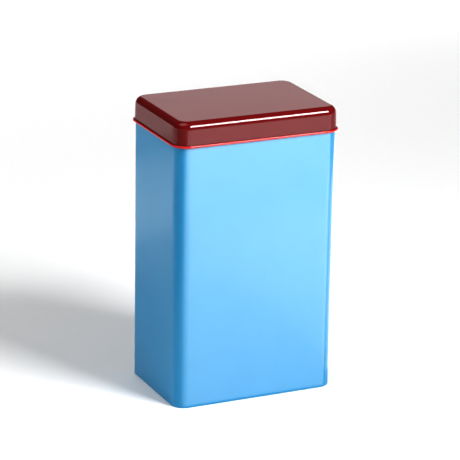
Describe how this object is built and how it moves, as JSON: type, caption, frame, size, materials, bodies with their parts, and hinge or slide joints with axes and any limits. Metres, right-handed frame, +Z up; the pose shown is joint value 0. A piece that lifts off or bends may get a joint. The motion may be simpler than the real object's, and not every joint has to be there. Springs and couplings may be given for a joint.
{
  "type": "rectangular powder tin",
  "caption": "Tall rectangular tinplate powder tin with rounded corners, a recessed base and a deep slip-on lid that ends in an outward-curled bead.",
  "frame": {"origin": "centre of the standing edge, on the surface that the tin stands on", "axes": "+Z up through the lid, X along the wide faces with the side seam on +X, -Y out of the front wide face"},
  "size_m": [0.1216, 0.0842, 0.2],
  "materials": {
    "body_lacquer": "satin light blue lacquer outside, gloss red lacquer inside, on tinplate",
    "base_lacquer": "satin light blue lacquer outside, gloss red lacquer inside, on tinplate",
    "seal_compound": "matt grey cured compound",
    "lid_lacquer": "high-gloss burgundy lacquer outside, gloss red lacquer inside and on the curled bead, on tinplate"
  },
  "bodies": {
    "tin": {"body_wall": "body_lacquer", "base_panel": "base_lacquer", "base_seam_seal": "seal_compound"},
    "lid": {"lid_shell": "lid_lacquer"}
  },
  "joints": [
    {"name": "lid_lift", "type": "slide", "parent": "tin", "child": "lid", "axis": [0, 0, 1], "range_m": [0, 0.1]}
  ]
}
